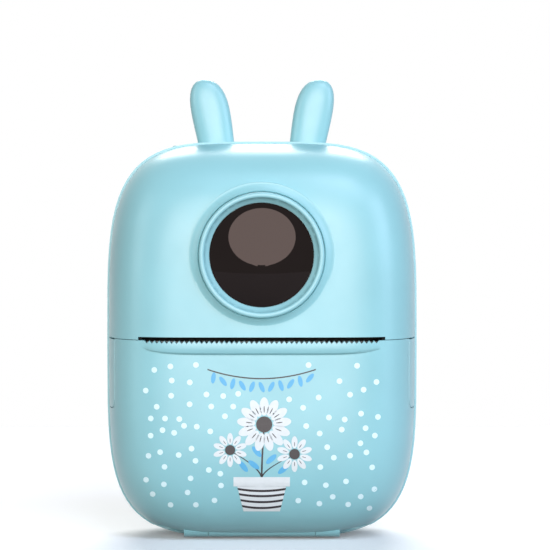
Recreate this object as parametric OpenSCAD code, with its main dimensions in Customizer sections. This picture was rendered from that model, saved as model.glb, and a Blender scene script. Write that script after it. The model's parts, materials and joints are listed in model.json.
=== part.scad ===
// Instant camera with a thermal printer, two rabbit ears and a drop-down paper door.
// Millimetres. +Z is up, the lens looks along -Y and the screen along +Y.
// The origin is under the middle of the camera, on the surface that it stands on.

/* [Casing] */
// Room on each side between the end of the paper roll and the widest line of the casing
side_room = 9.5; // [9.2:0.1:11.5]
// Height of the casing from its base to its crown
body_h = 97; // [95:1:104]
// Height of the widest line above the base
waist_h = 46.5; // [45:0.5:50]
// Depth of the front half, from the parting plane to the face
front_d = 17; // [16.5:0.5:20]
// Depth of the rear half, from the parting plane to the flat back
rear_d = 22.5; // [22.5:0.5:26]
// Wall thickness of the shells
wall = 1.8; // [1.4:0.1:2]
// How square the outline is, as the power of its superellipse
corner_power = 4.1; // [3.9:0.1:4.8]
// How full the front face is, as a power
face_power = 6; // [5.8:0.1:7]
// How full the back is, as a power
back_power = 9; // [8:0.5:12]
// Step by which the front half stands inside the rear half
reveal = 0.5; // [0.3:0.1:0.7]
// Gap of the parting lines
seam = 0.15; // [0.1:0.05:0.3]

/* [Lens] */
// Height of the lens axis above the base
lens_h = 70; // [69:0.5:72]
// Outer radius of the moulded collar round the lens
collar_r = 17.4; // [17:0.2:18.4]
// Outer radius of the raised lens ring
ring_r = 15.1; // [14.6:0.1:15.2]
// How far the lens ring stands out of the face
ring_h = 2.3; // [1.9:0.1:3]
// Radius of the domed lens window
window_r = 12.5; // [12:0.1:12.6]
// Rise of the window's dome
window_dome = 1.6; // [1:0.1:1.8]

/* [Print slot] */
// Room beside the paper in the print slot, on each side
slot_play = 1.25; // [0.75:0.05:1.5]
// Height of the top edge of the paper door
door_h = 49.3; // [49:0.1:49.6]
// Opening between the door and the upper edge of the slot
slot_gap = 0.85; // [0.7:0.05:1.1]
// Distance from tooth to tooth of the tear edge
tooth_pitch = 1.2; // [1:0.1:1.6]
// Depth of the notches between the teeth
tooth_depth = 0.65; // [0.4:0.05:0.8]
// How far the lip under the slot stands out
lip_proud = 0.9; // [0.5:0.1:1.2]
// Height of that lip
lip_h = 3.4; // [2.8:0.1:4.4]

/* [Ears] */
// Distance of each ear's foot from the middle
ear_x = 11.2; // [10:0.2:13]
// How far an ear's tip stands further out than its foot
ear_lean = 2.8; // [0:0.2:4]
// Height of the ears above the crown
ear_h = 15.2; // [11:0.2:20]
// Width of an ear
ear_w = 10.1; // [8:0.1:11]
// Thickness of an ear
ear_t = 5; // [4:0.1:5.4]

/* [Printer] */
// Width of the paper roll
paper_w = 57; // [54:0.5:60]
// Radius of a full paper roll
roll_r = 12.5; // [10:0.5:12.5]
// Radius of the platen roller
platen_r = 4; // [3.6:0.1:4]
// Tilt of the print head from the horizontal
head_tilt = 15; // [13:1:17]
// Module of the gear train
gear_m = 0.5; // [0.5, 0.48]
// Thickness of the gears
gear_t = 1.4; // [1:0.1:1.4]

/* [Back] */
// Width of the screen's picture
screen_w = 41; // [36:1:43]
// Height of the screen's picture
screen_h = 31; // [28:1:33]
// How far the keys stand out of the back
key_proud = 0.8; // [0.6:0.1:1.2]
// Travel of a key
key_travel = 0.4; // [0.3:0.05:0.5]
// Travel of the shutter button
shutter_travel = 0.8; // [0.5:0.1:0.9]
// Travel of a door release button
release_travel = 1; // [0.6:0.1:1]

/* [Hidden] */

// Colours of the materials
shell_aqua = "#a9dfea";
ink_black = "#1c1a1a";
board_green = "#1f6b45";
steel = "#c9ccd0";
grey_plastic = "#55595d";
paper_white = "#f7f6f2";
button_white = "#f4f8f9";
rubber_black = "#2b2b2d";
brass_gold = "#c9a24b";

// Clearances: running for a pin that turns, sliding for a button, fit for parts that stay put
running = 0.05;
sliding = 0.2;
fit = 0.1;
press_play = 0.01;
over = 1;    // how far a cutting solid runs past what it cuts
far = 80;    // larger than the camera, for half spaces
$fn = 48;

// Frame of the casing
body_w = paper_w + 2 * side_room;
half_w = body_w / 2;
crown = body_h - waist_h;
base_cut = 0.3;
keel = waist_h + base_cut;
part_y = (front_d + ring_h - rear_d - key_proud) / 2;
face_y = part_y - front_d;
back_y = part_y + rear_d;
edge_power = 2.2;
heel_power = 2.6;
back_crown = 0.6;
inner_back_y = back_y - wall;
slot_w = paper_w + 2 * slot_play;

// Hinge of the paper door, and the room that the door swings through
hinge_y = part_y - 5.6;
knuckle_r = 2.2;
hinge_z = reveal + knuckle_r;
barrel_w = 26;
knuckle_w = 6;
pin_r = 1;
swing_r = norm([part_y - hinge_y, hinge_z]) + seam;
swing_gap = 0.3;
tail_swing_r = 8.6;
tail_swing_inset = 1.9;

// Side plates of the printer's frame
plate_gap = 0.4;
plate_x = paper_w / 2 + plate_gap;
plate_t = 1;
plate_out = plate_x + plate_t;

// Bay of the paper roll: its cradle clears the swing of the door
bay_gap = 0.6;
bay_wall = 1;
bay_clear = 0.39;
bay_r = roll_r + bay_gap;
bay_y = part_y + 1.4;
bay_reach = swing_r + bay_r + bay_wall + bay_clear;
bay_z = hinge_z + sqrt(bay_reach * bay_reach - pow(bay_y - hinge_y, 2));
cradle_open = 12;
cradle_front = 4;
roll_z = bay_z - bay_gap + fit;
core_r = 6.5;
core_t = 1;

// Platen
platen_y = part_y - 5.7;
platen_z = door_h - 6.7;
shaft_r = 1.5;
bush_r = 2.5;
bush_rim = 0.6;
bush_rim_t = 0.25;

// Platen carrier: its arms, its bar, and the bosses on the door that it is screwed to
arm_r = 4.1;
arm_foot_z = platen_z - 8;
arm_front = platen_y - 5;
carrier_t = 1.4;
carrier_y = face_y + wall + 2.6;
carrier_half = plate_x - 2.9;
carrier_screw_x = plate_x - 8.9;
carrier_screw_z = platen_z - 6.4;
carrier_screw_r = 0.75;
carrier_head_r = 1.5;
carrier_head_h = 1;
carrier_boss_r = 2.4;

// Gear train: the platen gear turns against the idler, and the idler against the motor pinion
platen_teeth = 16;
idler_teeth = 30;
pinion_teeth = 12;
pressure_angle = 20;
backlash = 0.16;
gear_side_gap = 0.4;
gear_hole_r = 1.1;
gear_x = -plate_out - gear_side_gap - gear_t;
idler_dir = 2;
idler_y = platen_y + gear_m * (platen_teeth + idler_teeth) / 2 * cos(idler_dir);
idler_z = platen_z + gear_m * (platen_teeth + idler_teeth) / 2 * sin(idler_dir);
idler_turn = idler_dir + 180 + 180 / idler_teeth;
motor_dir = 80;
motor_y = idler_y + gear_m * (idler_teeth + pinion_teeth) / 2 * cos(motor_dir);
motor_z = idler_z + gear_m * (idler_teeth + pinion_teeth) / 2 * sin(motor_dir);
pinion_turn = motor_dir + 180 + 180 / pinion_teeth
    - (idler_turn - motor_dir) * idler_teeth / pinion_teeth;
motor_r = 6;
motor_len = 12;
motor_boss_r = 2;
motor_shaft_r = 0.5;
gear_pin_r = 0.75;
gear_pin_head_r = 1.3;
gear_pin_head_t = 0.5;

// Print head, in a frame at its contact with the platen: +Y runs back along the head, +Z away
contact_gap = 0.1;
head_w = paper_w - 1;
head_front = 2.4;
head_len = 11.4;
head_t = 0.8;
head_plug = [20, 2.6, 1.3];
head_plug_y = 6;
head_pivot = [0, 13.5, 1.6];
head_pivot_y = platen_y + (platen_r + contact_gap) * sin(head_tilt)
    + head_pivot[1] * cos(head_tilt) + head_pivot[2] * sin(head_tilt);
head_pivot_z = platen_z + (platen_r + contact_gap) * cos(head_tilt)
    - head_pivot[1] * sin(head_tilt) + head_pivot[2] * cos(head_tilt);
bracket_t = 1.2;
bracket_len = 14.4;
bracket_foot = 0.85;
bracket_top = 2.4;
bracket_tube_r = 2;
bracket_tube_len = 5;
head_spring_x = 15;
head_spring_y = 2.4;
head_spring_len = 3.4;
head_spring_r = 1.5;
head_wire_r = 0.25;
spring_seat_t = 1.4;
spring_seat_d = 4.3;
spring_peg_r = 1;
spring_play = 0.02;

// Screws: the upper pair holds the front shell, the lower pair the printer's frame
screw_r = 0.9;
screw_head_r = 1.55;
screw_head_h = 1.2;
screw_socket_r = 0.6;
screw_bore_r = 0.95;
shell_screw_r = 1.15;
shell_screw_x = half_w - 11.5;
shell_screw_z = waist_h + crown - 15;
frame_screw_x = plate_x - 3.4;
frame_screw_z = 10.5;
boss_r = 2.4;
boss_back = part_y - seam;
lug_front = bay_y + 5;
lug_back = part_y + 13.5;
well_floor = 6;
frame_well_floor = 15.6;
well_r = 1.9;

// Back panel: the screen's window, the display and the main board behind it
screen_z = 62;
panel_margin = 3;
panel_t = 1.2;
panel_corner = 3;
lcd_t = 2;
lcd_edge = 3;
board_t = 1.6;
board_gap = 0.9;
board_y = inner_back_y - lcd_t - board_t - board_gap;
board_margin = 6.5;
board_w = screen_w + lcd_edge + 2 * board_margin;
board_lo = 20.5;
board_hi = 82;
board_corner = 8;
board_post_r = 1.9;
board_post_x = board_w / 2 - 3;
board_posts = [for (x = [-1, 1] * board_post_x, z = [42, 72]) [x, z]];
board_screw_r = 0.65;
board_head_r = 1.5;
battery_w = 35;
battery_t = 4.6;
battery_h = 21;
battery_x = 4.5;
battery_z = 65.5;
sensor_board_w = 18;
sensor_board_t = 1;
sensor = [8, 1.3, 6];

// Keys: four quarters of a ring round the middle key, and two round keys on each side
pad_z = 30.5;
pad_ring_r = 9.2;
pad_ok_r = 3.6;
pad_gap = 0.7;
pad_slot = 0.9;
pad_key_r = (pad_ok_r + pad_gap + pad_ring_r) / 2;
pad_keys = [for (a = [90, 270, 180, 0]) [pad_key_r * cos(a), pad_z + pad_key_r * sin(a)]];
key_r = 3.4;
side_key_x = 18.5;
side_key_dz = 5.6;
side_keys = [[-side_key_x, pad_z + side_key_dz], [-side_key_x, pad_z - side_key_dz],
    [side_key_x, pad_z + side_key_dz], [side_key_x, pad_z - side_key_dz]];
key_places = concat([[0, pad_z]], pad_keys, side_keys);
key_flange = 0.7;
key_flange_t = 0.8;
switch_w = 3;
switch_cap_r = 0.8;
switch_top = back_y - wall - key_flange_t - fit - key_travel;

// Speaker
speaker_z = 13.5;
speaker_w = 16;
speaker_h = 9;
speaker_t = 3.6;
speaker_gap = 1.6;
sound_hole_r = 0.6;
sound_hole_pitch = 2.4;

// Release buttons
release_y = part_y - 5;
release_w = 7.6;
release_lo = 32.4;
release_corner = 2.2;
release_block_h = 5;
release_flange_t = 0.9;
release_stop = 0.5;
release_flange_x = plate_out + release_travel + release_flange_t + release_stop;
spring_pocket_r = 1.7;
spring_pocket_d = 2.4;
release_spring_r = 1.3;
release_wire_r = 0.2;

// Sockets in the right side, and the cover over them
port_y = part_y + 6;
port_z = 67;
port_h = 24;
port_w = 8;
port_x = half_w - 6.6;
port_wall = 1.2;
usb_dz = 6.5;
usb_w = 9;
usb_h = 3.3;
usb_wall = 0.35;
usb_len = 7;
card_w = 11.4;
card_h = 5;
card_len = 8;
card_slot_h = 0.9;
port_board_w = 8;
port_board_h = 22.5;
cover_t = 1.2;
cover_pin_r = 0.6;
cover_barrel_r = 0.9;
cover_tail_r = 1.4;
cover_pin_x = half_w - cover_tail_r;
cover_pin_z = port_z - port_h / 2 + sliding + cover_tail_r;
cover_half = port_w / 2 - sliding;
cover_pin_reach = 0.8;
nail_notch_r = 2.5;

// Strap bar in its pocket in the left side
strap_y = part_y + 8;
strap_z = 70;
strap_pocket_w = 8;
strap_pocket_h = 12;
strap_pocket_d = 6;
strap_wall = 1.2;
strap_bar_r = 1;
strap_bar_inset = 2.4;
strap_bar_hold = 0.8;

// Shutter button in the top
shutter_x = -18;
shutter_y = part_y + 9;
shutter_r = 4.2;
shutter_rim = 0.8;
shutter_chamfer = 0.3;
shutter_top = waist_h + crown - 1.1;
shutter_flange_t = 1;
shutter_shelf = shutter_top - 6.4;
shutter_switch_w = 6;

// Ears and the tenons under their feet
ear_y = part_y + 0.5 + ear_t / 2;
ear_seat = 0.7;
ear_foot_z = waist_h + crown - ear_seat;
tenon = [5, 2.2, 3];

// Lens: the collar's profile is a soft flare, then the cup that takes the lens ring
cup_r = ring_r + fit;
cup_floor = 4.6;
cup_t = 1.2;
cup_ledge_r = ring_r - 2.4;
collar_top = 0.9;
collar_rim = 0.25;
collar_root = 0.4;
collar = concat([[cup_r, -cup_floor - cup_t], [cup_r + cup_t, -cup_floor - cup_t],
    [cup_r + cup_t, -cup_floor + 1], [collar_r, -cup_floor + 2]],
    [for (k = [0:6]) let(s = k / 6)
        [collar_r - (collar_r - cup_r - collar_rim) * s, collar_top * pow(s, 1.7)]],
    [[cup_r, collar_top - 0.2]]);
rim_r = 0.55;
bevel_r = ring_r - 1.35;
bevel_foot = 0.7;
window_seat = -0.4;
window_edge = 0.4;
window_ledge = 1.2;
barrel_flange_r = 13.4;
barrel_flange_t = 1.2;
barrel_r = 7.4;
barrel_bore_r = 6.2;
barrel_eye_r = 3.2;
barrel_front = 3.2;
barrel_back = 9;

// Outlines of the frame's side plate, of its bar and of the guide over the slot
plate_front = platen_y + arm_r + 0.5;
plate_back = board_y - 2.2;
plate_top = motor_z + motor_r + 0.6;
plate_roof = platen_z + arm_r + 0.8;
plate_nose = platen_y - 2.5;
arm_drop = 0.8;
head_bar_top = platen_z + platen_r + 8.6;
guide_y = face_y + wall + 2.4;

// Lip under the slot
lip_w = slot_w - 1.9;
lip_inset = 1;

// ---------------------------------------------------------------- shapes

// Power of a number that keeps its sign
function signed_power(v, p) = sign(v) * pow(abs(v), p);

// Point at angle t on the superellipse outline, for half width a and half heights up and down
function outline(t, r, a, up, down) = [
    r * a * signed_power(cos(t), 2 / corner_power),
    r * (sin(t) >= 0 ? up : down) * signed_power(sin(t), 2 / corner_power)];

// How far in front of its parting plane a half stands at point (x, z), as a share of its depth
function fullness(x, z, inset, power, edge) =
    let(h = z - waist_h)
    let(v = h / ((h >= 0 ? crown : keel) - inset))
    let(r = pow(pow(abs(x) / (half_w - inset), corner_power) + pow(abs(v), corner_power),
        1 / corner_power))
    r >= 1 ? 0 : pow(1 - pow(r, power), 1 / edge);

// Height of the front face's surface above the parting plane
function front_height(x, z, inset) = (front_d - inset + reveal)
    * fullness(x, z, inset, face_power, edge_power);

// Closed solid through a stack of rings with the same number of points
module loft(rings, flip = false) {
    n = len(rings[0]);
    last = (len(rings) - 1) * n;
    sides = [for (i = [0:len(rings) - 2], j = [0:n - 1])
        let(a = i * n + j, b = i * n + (j + 1) % n)
        each [[a, a + n, b], [a + n, b + n, b]]];
    caps = [[for (j = [0:n - 1]) j], [for (j = [n - 1:-1:0]) last + j]];
    faces = concat(sides, caps);
    polyhedron([for (ring = rings) each ring],
        flip ? [for (f = faces) [for (k = [len(f) - 1:-1:0]) f[k]]] : faces);
}

// One half of the casing as a solid: a superellipse that fades into a rounded face
module half_casing(dir, depth, inset, power, edge, points, rings, start) {
    a = half_w - inset;
    ring_at = function(t) [pow(cos(t), 2 / power), pow(sin(t), 2 / edge)];
    steps = concat([[1, start / depth]],
        [for (k = [1:rings]) ring_at(k * 86 / rings)]);
    loft([for (s = steps) [for (j = [0:points - 1])
        let(p = outline(j * 360 / points, s[0], a, crown - inset, keel - inset))
        [p[0], part_y + dir * depth * s[1], waist_h + p[1]]]], dir > 0);
}

module front_half(inset, points = 80, rings = 12, start = 0) {
    half_casing(-1, front_d - inset + reveal, inset, face_power, edge_power, points, rings, start);
}

module rear_half(inset, points = 80, rings = 8, start = 0) {
    half_casing(1, rear_d + back_crown - inset, inset, back_power, heel_power, points, rings, start);
}

// Hollow halves, open at the parting plane
module front_hollow() {
    difference() {
        front_half(reveal, start = seam);
        front_half(reveal + wall, 48, 8, -over);
        below(0);
    }
}

module rear_hollow() {
    difference() {
        rear_half(0);
        difference() {
            rear_half(wall, 48, 7, -over);
            behind(inner_back_y);
        }
        below(0);
        behind(back_y);
    }
}

// Half spaces: all that lies behind a plane, below one or above one
module behind(y) {
    translate([-far, y, -far]) cube([2 * far, far, 3 * far]);
}

module below(z) {
    translate([-far, -far, z - far]) cube([2 * far, 2 * far, far]);
}

module above(z) {
    translate([-far, -far, z]) cube([2 * far, 2 * far, 2 * far]);
}

// Box from one corner to the other
module box(lo, hi) {
    translate(lo) cube(hi - lo);
}

// The children on the right, and their mirror image on the left
module pair() {
    children();
    mirror([1, 0, 0]) children();
}

// Cylinder along X between two places
module rod_x(r, x0, x1) {
    translate([x0, 0, 0]) rotate([0, 90, 0]) cylinder(r = r, h = x1 - x0);
}

// Cylinder along Y between two places, centred on (x, z)
module rod_y(r, x, z, y0, y1) {
    translate([x, y0, z]) rotate([-90, 0, 0]) cylinder(r = r, h = y1 - y0);
}

// Solid of revolution about the lens axis: profile points are [radius, height above the face]
module lens_turned(profile) {
    translate([0, face_y, lens_h]) rotate([90, 0, 0]) rotate_extrude($fn = 96) polygon(profile);
}

// Plate profile in the YZ plane, extruded along X
module along_x(x0, x1) {
    translate([x0, 0, 0]) rotate([90, 0, 90]) linear_extrude(x1 - x0) children();
}

// Plate profile in the XZ plane, extruded along Y
module along_y(y0, y1) {
    translate([0, y1, 0]) rotate([90, 0, 0]) linear_extrude(y1 - y0) children();
}

// Rectangle with rounded corners, centred
module rounded(w, h, r) {
    square([w - 2 * r, h], center = true);
    square([w, h - 2 * r], center = true);
    for (x = [-1, 1], y = [-1, 1]) translate([x * (w / 2 - r), y * (h / 2 - r)]) circle(r);
}

// Arc of points about a centre
function arc(c, r, a0, a1, n) = [for (k = [0:n])
    let(a = a0 + (a1 - a0) * k / n) c + r * [cos(a), sin(a)]];

// Involute gear: half the angle of a tooth at radius r
function involute_angle(base, r) = let(a = acos(min(1, base / r))) tan(a) * 180 / PI - a;
function gear_outline(teeth) =
    let(rp = gear_m * teeth / 2, base = rp * cos(pressure_angle), tip = rp + gear_m * 0.95)
    let(root = rp - gear_m * 1.2, low = max(base, root))
    let(half = 90 / teeth - backlash / rp * 90 / PI / 2 + involute_angle(base, rp))
    let(flank = [for (k = [0:3]) let(r = low + (tip - low) * k / 3)
        [r, half - involute_angle(base, r)]])
    [for (i = [0:teeth - 1]) let(c = i * 360 / teeth) each concat(
        [[root * cos(c - flank[0][1]), root * sin(c - flank[0][1])]],
        [for (p = flank) p[0] * [cos(c - p[1]), sin(c - p[1])]],
        [for (k = [3:-1:0]) flank[k][0] * [cos(c + flank[k][1]), sin(c + flank[k][1])]],
        [[root * cos(c + flank[0][1]), root * sin(c + flank[0][1])]])];

// Gear with its axis along X at (y, z), turned so that its mesh meets
module gear(teeth, y, z, turn, bore) {
    along_x(gear_x, gear_x + gear_t) translate([y, z]) rotate(turn) difference() {
        polygon(gear_outline(teeth));
        circle(bore);
        if (teeth > 20)
            for (a = [0:60:300]) rotate(a) translate([gear_m * teeth / 3.4, 0]) circle(gear_hole_r);
    }
}

// Coil spring along +Z from the origin
module coil(r, wire, length, turns) {
    n = turns * 10;
    loft([for (i = [0:n]) let(a = i * 36, rise = (length - 2 * wire) / n * i + wire)
        [for (k = [0:5]) let(b = k * 60, d = r + wire * cos(b))
            [d * cos(a), d * sin(a), rise + wire * sin(b)]]], true);
}

module at_head() {
    translate([0, platen_y + (platen_r + contact_gap) * sin(head_tilt),
        platen_z + (platen_r + contact_gap) * cos(head_tilt)])
        rotate([-head_tilt, 0, 0]) children();
}

module at_hinge() {
    translate([0, hinge_y, hinge_z]) children();
}

module at_platen() {
    translate([0, platen_y, platen_z]) children();
}

// ---------------------------------------------------------------- casing

// Front shell: the hollow front half above the slot, with the collar and cup of the lens in it
module front_shell() color(shell_aqua) {
    difference() {
        union() {
            difference() {
                front_hollow();
                door_space(seam);
                box([-slot_w / 2, -far, 0], [slot_w / 2, part_y, door_h + slot_gap]);
                rod_y(collar_r - collar_root, 0, lens_h, -far, 0);
            }
            intersection() {
                lens_turned(collar);
                front_clear();
            }
            lens_turned([[cup_ledge_r, -cup_floor - cup_t], [cup_r + cup_t / 2, -cup_floor - cup_t],
                [cup_r + cup_t / 2, -cup_floor], [cup_ledge_r, -cup_floor]]);
            front_bosses();
        }
        front_boss_bores();
    }
}

// Space of the paper door: flat on top in front of the hinge, round about the hinge behind it
module door_space(gap) {
    intersection() {
        below(door_h + gap);
        union() {
            translate([-far, hinge_y - far, -far]) cube([2 * far, far, 3 * far]);
            at_hinge() rod_x(door_h - hinge_z + gap, -far, far);
        }
    }
}

// Room for the collar: it stops above the print slot
module front_clear() {
    above(door_h + slot_gap);
}

// Bosses behind the face that the upper screws hold
module front_bosses() {
    intersection() {
        pair() rod_y(boss_r, shell_screw_x, shell_screw_z, face_y, boss_back);
        front_half(reveal + wall / 2, 48, 6);
    }
}

module front_boss_bores() {
    pair() rod_y(screw_bore_r, shell_screw_x, shell_screw_z, boss_back - 8, boss_back + over);
}

module rear_shell() color(shell_aqua) {
    difference() {
        union() {
            difference() {
                rear_hollow();
                intersection() {
                    at_hinge() rod_x(swing_r, -far, far);
                    below(hinge_z);
                }
            }
            hinge_tongue();
            intersection() {
                rear_inside();
                rear_half(wall / 2, 48, 7);
            }
        }
        rear_openings();
    }
}

// Tongue that carries the fixed barrel of the door's hinge
module hinge_tongue() {
    difference() {
        union() {
            at_hinge() rod_x(knuckle_r, -barrel_w / 2, barrel_w / 2);
            box([-barrel_w / 2, hinge_y, reveal + seam], [barrel_w / 2, part_y + wall, hinge_z]);
        }
        at_hinge() rod_x(pin_r + running, -barrel_w, barrel_w);
    }
}

// Screw tubes, and the posts that the main board is screwed to
module rear_inside() {
    pair() {
        rod_y(boss_r, shell_screw_x, shell_screw_z, part_y, back_y);
        rod_y(boss_r, frame_screw_x, frame_screw_z, lug_back + fit, back_y);
    }
    for (p = board_posts) rod_y(board_post_r, p[0], p[1], board_y + board_t, back_y);
    strap_pocket(strap_wall);
    port_walls();
}

// Everything cut through the rear shell
module rear_openings() {
    pair() {
        rod_y(shell_screw_r, shell_screw_x, shell_screw_z, part_y - over, back_y);
        rod_y(well_r, shell_screw_x, shell_screw_z, part_y + well_floor, back_y + over);
        rod_y(shell_screw_r, frame_screw_x, frame_screw_z, lug_back - over, back_y);
        rod_y(well_r, frame_screw_x, frame_screw_z, part_y + frame_well_floor, back_y + over);
    }
    for (p = board_posts) rod_y(board_screw_r + running, p[0], p[1], board_y, inner_back_y);
    along_y(back_y - panel_t - fit, back_y + over) translate([0, screen_z])
        rounded(screen_w + 2 * (panel_margin + fit), screen_h + 2 * (panel_margin + fit), panel_corner);
    along_y(inner_back_y - over, back_y) translate([0, screen_z])
        rounded(screen_w + panel_t, screen_h + panel_t, 1);
    key_holes();
    sound_holes();
    translate([shutter_x, shutter_y, shutter_shelf + shutter_flange_t + sliding])
        cylinder(r = shutter_r + sliding, h = far);
    ear_sockets();
    strap_pocket(0);
    strap_rod(strap_bar_r + running / 2, strap_bar_hold + fit);
    port_pocket(0);
    cover_pins(cover_pin_r + running, cover_pin_reach + fit);
}

// Two staggered rows of holes before the speaker
module sound_holes() {
    for (i = [-3:3]) {
        rod_y(sound_hole_r, i * sound_hole_pitch, speaker_z + 1, 0, back_y + over);
        rod_y(sound_hole_r, (i + 0.5) * sound_hole_pitch, speaker_z - 1, 0, back_y + over);
    }
}

// ---------------------------------------------------------------- ears

// Cross-section of an ear at share s of its height: a flat oval that leans outward
function ear_section(s, grow) =
    let(taper = pow(1 - pow(s, 4), 1 / edge_power))
    [for (j = [0:31]) let(t = j * 360 / 32) [
        ear_x + ear_lean * s + (ear_w / 2 * taper * (0.88 + 0.2 * s) + grow) * signed_power(cos(t), 0.85),
        ear_y + (ear_t / 2 * pow(taper, 0.7) + grow) * signed_power(sin(t), 0.75)]];

// Ear on the right, with a tenon under its foot
module ear() {
    loft([for (s = [0, 0.16, 0.32, 0.46, 0.58, 0.68, 0.77, 0.85, 0.91, 0.955, 0.985, 0.998])
        [for (p = ear_section(s, 0)) [p[0], p[1], ear_foot_z + (ear_h + ear_seat) * s]]]);
    translate([ear_x - tenon[0] / 2, ear_y - tenon[1] / 2, ear_foot_z - tenon[2]])
        cube([tenon[0], tenon[1], tenon[2] + 1]);
}

module ear_right() color(shell_aqua) ear();

module ear_left() color(shell_aqua) mirror([1, 0, 0]) ear();

// Shallow seats and mortises for the ears
module ear_sockets() {
    pair() {
        translate([0, 0, ear_foot_z]) linear_extrude(far) polygon(ear_section(0, fit));
        translate([ear_x - tenon[0] / 2 - fit, ear_y - tenon[1] / 2 - fit, ear_foot_z - 2 * tenon[2]])
            cube([tenon[0] + 2 * fit, tenon[1] + 2 * fit, 2 * tenon[2] + over]);
    }
}

// ---------------------------------------------------------------- lens

// Ring: straight outside, a rounded rim, a bevel inside and a ledge for the window
module lens_ring() color(shell_aqua) {
    lens_turned(concat(
        [[ring_r, -cup_floor + fit / 2]],
        arc([ring_r - rim_r, ring_h - rim_r], rim_r, 0, 90, 6),
        arc([bevel_r + rim_r, ring_h - rim_r], rim_r, 90, 180, 6),
        [[window_r + fit, bevel_foot], [window_r + fit, window_seat],
            [window_r - window_ledge, window_seat], [window_r - window_ledge, -cup_floor + fit / 2]]));
}

// Window: a dark dome with a short rim
module lens_window() color(ink_black) {
    dome_r = (window_r * window_r + window_dome * window_dome) / 2 / window_dome;
    edge_a = asin(window_r / dome_r);
    lens_turned(concat([[0, window_seat + running], [window_r, window_seat + running]],
        arc([0, window_edge + window_dome - dome_r], dome_r, 90 - edge_a, 90, 12)));
}

// Barrel behind the window: a tube with a flange against the back of the cup
module lens_barrel() color(ink_black) {
    seat = -cup_floor - cup_t - fit / 2;
    lens_turned([[barrel_eye_r, -barrel_front], [barrel_r, -barrel_front], [barrel_r, seat],
        [barrel_flange_r, seat], [barrel_flange_r, seat - barrel_flange_t],
        [barrel_r, seat - barrel_flange_t], [barrel_r, -barrel_back], [barrel_bore_r, -barrel_back],
        [barrel_bore_r, -barrel_front - barrel_flange_t],
        [barrel_eye_r, -barrel_front - barrel_flange_t]]);
}

// Board with the picture sensor, against the back of the barrel
module sensor_board() color(board_green) {
    board_front = face_y + barrel_back + fit / 2;
    translate([-sensor_board_w / 2, board_front, lens_h - sensor_board_w / 2])
        cube([sensor_board_w, sensor_board_t, sensor_board_w]);
    translate([-sensor[0] / 2, board_front + running - sensor[1], lens_h - sensor[2] / 2]) cube(sensor);
}

// ---------------------------------------------------------------- printer frame

// Side plate of the bay: round the roll, then up past the head to the motor
module plate_outline(top) {
    arm_room = 2 * arm_r + 6;
    difference() {
        union() {
            translate([bay_y, bay_z]) circle(bay_r + bay_wall);
            translate([plate_front, bay_z]) square([plate_back - plate_front, top - bay_z]);
            translate([plate_nose, plate_roof])
                square([plate_back - plate_nose, head_bar_top - plate_roof]);
        }
        translate([plate_front - arm_room, arm_foot_z - arm_drop])
            square([arm_room, plate_roof - arm_foot_z + arm_drop]);
        translate([head_pivot_y, head_pivot_z]) circle(pin_r);
    }
}

module bay_frame() color(ink_black) {
    difference() {
        union() {
            along_x(-plate_out, -plate_x) difference() {
                plate_outline(plate_top);
                translate([motor_y, motor_z]) circle(motor_boss_r + sliding);
                translate([idler_y, idler_z]) circle(gear_pin_r);
            }
            along_x(plate_x, plate_out) plate_outline(head_pivot_z + 4);
            along_x(-plate_x - fit, plate_x + fit) cradle_outline();
            head_bar();
            slot_guide();
            frame_lugs();
        }
        frame_front_clear();
        pair() {
            rod_y(screw_bore_r, frame_screw_x, frame_screw_z, lug_back - 5, lug_back + over);
            at_hinge() rod_x(tail_swing_r, plate_x - tail_swing_inset, far);
        }
    }
}

// Cradle under and behind the roll, open to the front
module cradle_outline() {
    difference() {
        translate([bay_y, bay_z]) circle(bay_r + bay_wall);
        translate([bay_y, bay_z]) circle(bay_r);
        translate([bay_y, bay_z]) rotate(-cradle_open) translate([-far, 0])
            square([far + roll_r / 2, far]);
        translate([bay_y - far - cradle_front, bay_z - far]) square([far, 2 * far]);
    }
}

// Lugs behind the cradle that are screwed to the rear shell
module frame_lugs() {
    pair() difference() {
        rod_y(boss_r, frame_screw_x, frame_screw_z, lug_front, lug_back);
        translate([0, bay_y, bay_z]) rod_x(bay_r, 0, far);
    }
}

// Bar over the head that its springs push against
module head_bar() {
    at_head()
        translate([-plate_x - fit, head_spring_y - spring_seat_d / 2, bracket_top + head_spring_len])
            cube([2 * (plate_x + fit), spring_seat_d, spring_seat_t]);
}

// Guide behind the upper edge of the slot
module slot_guide() {
    along_x(-plate_x - fit, plate_x + fit) polygon([[guide_y, door_h + slot_gap + 0.3],
        [plate_nose, plate_roof + 1.2], [plate_nose + 3, plate_roof + 4.2],
        [plate_nose + 1.5, plate_roof + 5.4], [guide_y, door_h + slot_gap + 2.4]]);
}

// Room inside the front shell for the frame's front corners
module frame_front_clear() {
    difference() {
        box([-far, -far, 0], [far, part_y - fit, far]);
        front_half(reveal + wall + swing_gap, 48, 8, -over);
    }
}

module motor() color(steel) translate([0, motor_y, motor_z]) {
    rod_x(motor_r, -plate_x + fit, -plate_x + fit + motor_len);
    rod_x(motor_boss_r, -plate_out + sliding, -plate_x + fit);
    rod_x(motor_shaft_r, gear_x - plate_gap, -plate_out + sliding);
}

module idler_pin() color(steel) translate([0, idler_y, idler_z]) {
    rod_x(gear_pin_r, gear_x - sliding - gear_pin_head_t, -plate_x);
    rod_x(gear_pin_head_r, gear_x - sliding - gear_pin_head_t, gear_x - sliding);
}

module head_pin() color(steel) translate([0, head_pivot_y, head_pivot_z])
    rod_x(pin_r, -plate_out - plate_gap, plate_out + plate_gap);

// Coil springs between the head's bracket and the bar over it
module head_spring(x) {
    at_head() translate([x, head_spring_y, bracket_top + spring_play])
        coil(head_spring_r, head_wire_r, head_spring_len - 2 * spring_play, 4);
}

module head_spring_left() color(steel) head_spring(-head_spring_x);

module head_spring_right() color(steel) head_spring(head_spring_x);

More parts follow.
